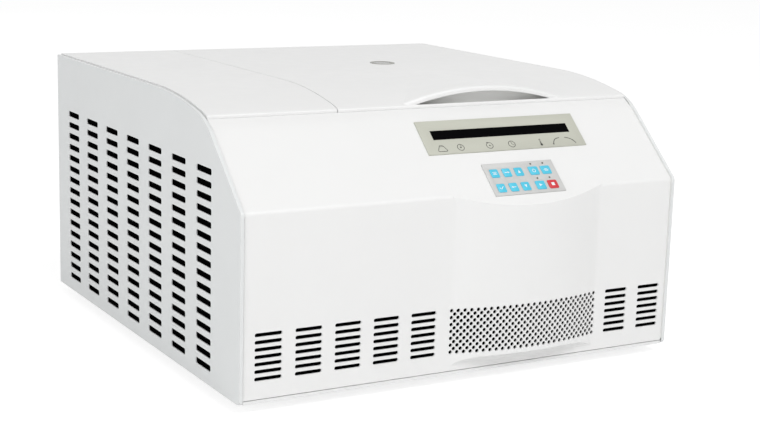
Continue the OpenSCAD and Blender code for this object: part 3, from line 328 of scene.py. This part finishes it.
def stroke(points, width, closed=False):
    """Quads along a line of points, as loops for outline_mesh."""
    count = len(points)
    normals = []
    for k in range(count):
        before = points[(k - 1) % count] if closed or k > 0 else points[k]
        after = points[(k + 1) % count] if closed or k < count - 1 else points[k]
        along = Vector(after) - Vector(before)
        normals.append(Vector((-along.y, along.x)).normalized() * width / 2)
    loops = []
    for k in range(count if closed else count - 1):
        j = (k + 1) % count
        a, b = Vector(points[k]), Vector(points[j])
        loops.append([a + normals[k], b + normals[j], b - normals[j], a - normals[k]])
    return [[tuple(p) for p in loop] for loop in loops]


def arc(cx, cy, radius, start, end, steps=16):
    return [
        (cx + radius * math.cos(math.radians(start + (end - start) * k / steps)),
         cy + radius * math.sin(math.radians(start + (end - start) * k / steps)))
        for k in range(steps + 1)
    ]


def ring(cx, cy, radius, width, steps=28):
    return stroke(arc(cx, cy, radius, 0, 360, steps)[:-1], width, closed=True)


def dot(cx, cy, radius, steps=14):
    return [arc(cx, cy, radius, 0, 360, steps)[:-1]]


def arrow_head(x, y, angle, size):
    turned = [(size, 0), (-size * 0.7, size * 0.75), (-size * 0.7, -size * 0.75)]
    c, s = math.cos(math.radians(angle)), math.sin(math.radians(angle))
    return [[(x + c * px - s * py, y + s * px + c * py) for px, py in turned]]


def mark(name, loops, x, s, height, material, body):
    """Places loops, given in millimetres, on the slope."""
    scaled = [[(px * MM, py * MM) for px, py in loop] for loop in loops]
    obj = bpy.data.objects.new(name, outline_mesh(name, scaled, MARK_T))
    bpy.context.collection.objects.link(obj)
    obj.matrix_world = slope_matrix(x, s, height)
    obj.data.materials.append(material)
    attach(obj, body)


LINE = 0.85
ICONS = {
    "rotor": stroke([(-6.6, -5.2), (6.6, -5.2), (7.4, -4.2), (7.0, -2.6), (3.6, 3.6), (2.4, 5.2), (-2.4, 5.2),
                     (-3.6, 3.6), (-7.0, -2.6), (-7.4, -4.2)], LINE, closed=True)
    + stroke([(-3.4, 3.4), (3.4, 3.4)], 0.5),
    "disc": ring(0, 0, 5.4, LINE) + dot(0, 0, 1.3) + stroke(arc(0, 0, 3.2, 20, 100), 0.5),
    "turning": stroke(arc(0, 0, 5.3, -215, 105, 24), LINE) + arrow_head(-2.8, 4.8, 195, 2.0) + dot(0, 0, 1.1)
    + stroke([(0, 0), (2.2, -1.2)], 0.5),
    "clock": ring(0, 0, 5.5, LINE) + stroke([(0, 4.2), (0, 0)], 0.6) + stroke([(0, 0), (3.6, -1.6)], 0.6),
    "thermometer": dot(0, -4.4, 2.1) + stroke([(0, -4), (0, 1)], 1.6) + ring(0, 5.0, 0.9, 0.4)
    + stroke([(-0.9, 1), (-0.9, 5)], 0.4) + stroke([(0.9, 1), (0.9, 5)], 0.4),
    "speed_up": stroke([(-7.6, -6.2), (-6.4, -2.6), (-4.2, 1.0), (-1.2, 3.8), (3.0, 5.4), (7.4, 6.0)], 1.0)
    + dot(-7.2, -4.6, 1.1) + dot(3.2, 5.3, 0.8),
    "slow_down": stroke([(-7.8, 6.0), (-3.4, 4.9), (0.8, 3.2), (4.2, 0.6), (6.6, -2.4), (8.0, -5.6)], 1.0)
    + dot(4.6, 0.2, 0.9) + dot(-3.2, 4.8, 0.8),
}
ICON_X = {"rotor": -110.5, "disc": -79.6, "turning": -30.6, "clock": 7.5, "thermometer": 58.0,
          "speed_up": 86.6, "slow_down": 111.3}
ICON_S = -20 * MM
for name, loops in ICONS.items():
    mark("icon_" + name, loops, ICON_X[name] * MM, DISPLAY_S + ICON_S, PLATE_T, DARK_INK, "cabinet")

KEY_X = [-45.4, -24.7, -4, 21.6, 42.7]
KEY_UP = [10.4, -15.5]
KEY_TOP = PLATE_T + 0.8 * MM


def bars(widths, pitch=2.0, thick=0.8):
    top = (len(widths) - 1) * pitch / 2
    return [
        [(-w / 2, top - k * pitch - thick / 2), (w / 2, top - k * pitch - thick / 2),
         (w / 2, top - k * pitch + thick / 2), (-w / 2, top - k * pitch + thick / 2)]
        for k, w in enumerate(widths)
    ]


KEY_MARKS = {
    (1, 1): bars([7, 5, 7], 1.8),
    (1, 2): stroke([(-3.6, 0), (1.8, 0)], 1.0) + arrow_head(2.6, 0, 0, 2.0),
    (1, 3): arrow_head(0, -0.4, 90, 3.0),
    (1, 4): stroke(arc(0, -0.2, 2.6, 125, 415, 22), 0.9) + stroke([(0, 1.0), (0, 3.4)], 0.9),
    (1, 5): bars([4, 8, 6], 1.8),
    (2, 1): stroke([(-3.2, 0.2), (-0.9, -2.1), (3.2, 2.4)], 1.1),
    (2, 2): stroke([(3.6, 0), (-1.8, 0)], 1.0) + arrow_head(-2.6, 0, 180, 2.0),
    (2, 3): arrow_head(0, 0.4, 270, 3.0),
    (2, 4): arrow_head(-0.4, 0, 0, 3.0),
    (2, 5): [[(-2.6, -2.6), (2.6, -2.6), (2.6, 2.6), (-2.6, 2.6)]],
}
for (row, column), loops in KEY_MARKS.items():
    mark(f"key_mark_{row}_{column}", loops, KEY_X[column - 1] * MM, KEYPAD_S + KEY_UP[row - 1] * MM,
         KEY_TOP, WHITE_INK, f"key_{row}_{column}")


# Near-black sheets behind the slots, painted shade for the dark inside seen through them, and strips in the
# seams

MAT_EDGE = 1.5 * MM
STRIP_T = 1.0
# The front's profile in millimetres: its lower end, the radius of its bend and where the slope ends
PROFILE_LOW = 8.0
KINK_R = 8.0
SLOPE_END_Y = 116.0


def slab(name, low, high, material, body):
    bm = bmesh.new()
    bmesh.ops.create_cube(bm, size=1.0)
    size = [high[k] - low[k] for k in range(3)]
    middle = [(high[k] + low[k]) / 2 for k in range(3)]
    bmesh.ops.scale(bm, vec=size, verts=bm.verts)
    bmesh.ops.translate(bm, vec=middle, verts=bm.verts)
    bmesh.ops.bevel(bm, geom=bm.edges[:], offset=MAT_EDGE, segments=2, affect="EDGES")
    mesh = bpy.data.meshes.new(name)
    bm.to_mesh(mesh)
    bm.free()
    mesh.materials.append(material)
    obj = bpy.data.objects.new(name, mesh)
    bpy.context.collection.objects.link(obj)
    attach(obj, body)


def body_point(x, y, z):
    return (x * MM, FRONT_Y + y * MM, BASE_Z + z * MM)


def arc_points(y, z, radius, start, end, steps):
    """Points (y, z) on an arc whose angle is measured from straight up towards the front."""
    return [
        (y - radius * math.sin(math.radians(start + (end - start) * k / steps)),
         z + radius * math.cos(math.radians(start + (end - start) * k / steps)))
        for k in range(steps + 1)
    ]


def front_profile(inset):
    """The flat front, the bend and the slope in the body's frame, moved inwards by inset."""
    kink = KINK_Z / MM
    top = kink + inset * math.tan(SLOPE) - inset / math.cos(SLOPE)
    centre = top - (KINK_R - inset) * math.tan((math.pi / 2 - SLOPE) / 2)
    bend = arc_points(KINK_R, centre, KINK_R - inset, 90, math.degrees(SLOPE), 5)
    end = (SLOPE_END_Y, kink + SLOPE_END_Y * math.tan(SLOPE) - inset / math.cos(SLOPE))
    return [(inset, PROFILE_LOW)] + bend + [end]


def seam_strip(name, x0, x1, depth, material):
    """A thin strip at the bottom of the seam between the front and a side panel."""
    outer, inner = front_profile(depth), front_profile(depth + STRIP_T)
    bm = bmesh.new()
    rows = []
    for (y0, z0), (y1, z1) in zip(outer, inner):
        rows.append([bm.verts.new(body_point(x, y, z)) for x, y, z in
                     ((x0, y0, z0), (x1, y0, z0), (x1, y1, z1), (x0, y1, z1))])
    for a, b in zip(rows, rows[1:]):
        for k in range(4):
            j = (k + 1) % 4
            bm.faces.new((a[k], a[j], b[j], b[k]))
    bm.faces.new(rows[0])
    bm.faces.new(list(reversed(rows[-1])))
    bmesh.ops.recalc_face_normals(bm, faces=bm.faces)
    mesh = bpy.data.meshes.new(name)
    bm.to_mesh(mesh)
    bm.free()
    mesh.materials.append(material)
    obj = bpy.data.objects.new(name, mesh)
    bpy.context.collection.objects.link(obj)
    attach(obj, "cabinet")


SEAM = surface("seam_strip", (0.62, 0.62, 0.60), 0.7, grain=1500, relief=0.1, specular=0.2, tone=0.9)
PALE_SEAM = surface("pale_seam_strip", (0.76, 0.76, 0.75), 0.6, grain=1500, relief=0.1, specular=0.3)
# Sides of each strip along x, how far it lies behind the front's face, and its material
SEAM_STRIPS = {
    "seam_strip_left": (-349.9, -349.1, 1.6, SEAM),
    "seam_strip_right": (349.0, 350.0, -0.8, PALE_SEAM),
}
for name, strip in SEAM_STRIPS.items():
    seam_strip(name, *strip)

# Two opposite corners of each sheet of painted shade in the body's frame
SLOT_SHADE_SHEETS = {
    "slot_shade_sheet_left": ((-350, 80, 8), (-346, 700, 318)),
    "slot_shade_sheet_front_left": ((-344, 7, 23), (-30, 11, 110)),
    "slot_shade_sheet_front_right": ((230, 7, 23), (344, 11, 110)),
    "slot_shade_sheet_grille": ((-36, 7, 23), (226, 11, 110)),
    "slot_shade_sheet_right": ((346, 436, 8), (350, 678, 162)),
}
for name, (low, high) in SLOT_SHADE_SHEETS.items():
    slab(name, body_point(*low), body_point(*high), SLOT_SHADE, "cabinet")


# Studio

WORLD_LIGHT = 0.46
# The floor lies just under the feet, so that no two faces share a plane
FLOOR_SIZE = 60
FLOOR_Z = -0.2 * MM
FLOOR_GLOW = 0.80
FLOOR_LIT = 0.38
LIGHT_TARGET = (0, 0, 0.2)
# Place and size in metres, power in watts
LIGHTS = {
    "key": ((0.9, -3.6, 5.0), (3.6, 2.6), 188),
    "fill": ((-4.6, -0.2, 1.6), (3.0, 2.4), 20),
    "low_fill": ((-4.2, -2.4, 1.0), (2.4, 1.6), 49),
    "back_fill": ((-1.2, 5.2, 1.7), (2.4, 1.8), 26),
}


def make_world():
    world = bpy.data.worlds.new("studio")
    world.use_nodes = True
    tree = world.node_tree
    background = tree.nodes["Background"]
    background.inputs["Color"].default_value = (1, 1, 1, 1)
    path = add(tree, "LightPath")
    seen = add(tree, "Math", operation="MAXIMUM")
    tree.links.new(path.outputs["Is Camera Ray"], seen.inputs[0])
    tree.links.new(path.outputs["Is Transmission Ray"], seen.inputs[1])
    seen_or_gloss = add(tree, "Math", operation="MAXIMUM")
    tree.links.new(seen.outputs["Value"], seen_or_gloss.inputs[0])
    tree.links.new(path.outputs["Is Glossy Ray"], seen_or_gloss.inputs[1])
    strength = add(tree, "MapRange")
    strength.inputs["To Min"].default_value = WORLD_LIGHT
    strength.inputs["To Max"].default_value = 1.0
    tree.links.new(seen_or_gloss.outputs["Value"], strength.inputs["Value"])
    tree.links.new(strength.outputs["Result"], background.inputs["Strength"])
    bpy.context.scene.world = world


def make_floor():
    bpy.ops.mesh.primitive_plane_add(size=FLOOR_SIZE, location=(0, 0, FLOOR_Z))
    floor = bpy.context.object
    floor.name = "floor"
    material, tree, shader = new_material("floor")
    tree.nodes.remove(shader)
    output = tree.nodes["Material Output"]
    diffuse = add(tree, "BsdfDiffuse")
    tree.links.new(ramp(tree, noise(tree, 3), 0.93, 0.95), diffuse.inputs["Color"])
    glow = add(tree, "Emission")
    glow.inputs["Strength"].default_value = FLOOR_GLOW
    path = add(tree, "LightPath")
    lit = add(tree, "MixShader")
    lit.inputs["Fac"].default_value = FLOOR_LIT
    both = add(tree, "AddShader")
    dark = add(tree, "Emission")
    dark.inputs["Strength"].default_value = 0.0
    tree.links.new(dark.outputs[0], lit.inputs[1])
    tree.links.new(diffuse.outputs[0], lit.inputs[2])
    tree.links.new(glow.outputs[0], both.inputs[0])
    tree.links.new(lit.outputs[0], both.inputs[1])
    choose = add(tree, "MixShader")
    tree.links.new(path.outputs["Is Camera Ray"], choose.inputs["Fac"])
    tree.links.new(diffuse.outputs[0], choose.inputs[1])
    tree.links.new(both.outputs[0], choose.inputs[2])
    tree.links.new(choose.outputs[0], output.inputs["Surface"])
    floor.data.materials.append(material)


def area_light(name, place, size, power):
    light = bpy.data.lights.new(name, "AREA")
    light.shape = "RECTANGLE"
    light.size, light.size_y = size
    light.energy = power
    obj = bpy.data.objects.new(name, light)
    bpy.context.collection.objects.link(obj)
    obj.location = place
    obj.rotation_euler = (Vector(LIGHT_TARGET) - Vector(place)).to_track_quat("-Z", "Y").to_euler()


# Camera: where the photograph was taken from, with its turn and its view angle
CAMERA_PLACE = (-1.1698, -2.1218, 0.6774)
CAMERA_YAW = 29.964
CAMERA_PITCH = 11.705
CAMERA_ROLL = 1.617
CAMERA_LENS = 73.82


def make_camera():
    data = bpy.data.cameras.new("camera")
    data.sensor_width = 36
    data.lens = CAMERA_LENS
    data.clip_start = 0.05
    data.clip_end = 100
    camera = bpy.data.objects.new("camera", data)
    bpy.context.collection.objects.link(camera)
    yaw, pitch = math.radians(CAMERA_YAW), math.radians(CAMERA_PITCH)
    roll = math.radians(CAMERA_ROLL)
    forward = Vector((math.sin(yaw) * math.cos(pitch), math.cos(yaw) * math.cos(pitch), -math.sin(pitch)))
    right = Vector((math.cos(yaw), -math.sin(yaw), 0))
    up = right.cross(forward)
    turned_right = right * math.cos(roll) + up * math.sin(roll)
    turned_up = up * math.cos(roll) - right * math.sin(roll)
    axes = Matrix((turned_right, turned_up, -forward)).transposed()
    camera.matrix_world = Matrix.Translation(CAMERA_PLACE) @ axes.to_4x4()
    bpy.context.scene.camera = camera


make_world()
make_floor()
for name, light in LIGHTS.items():
    area_light(name, *light)
make_camera()
bpy.context.scene.view_settings.view_transform = "Standard"
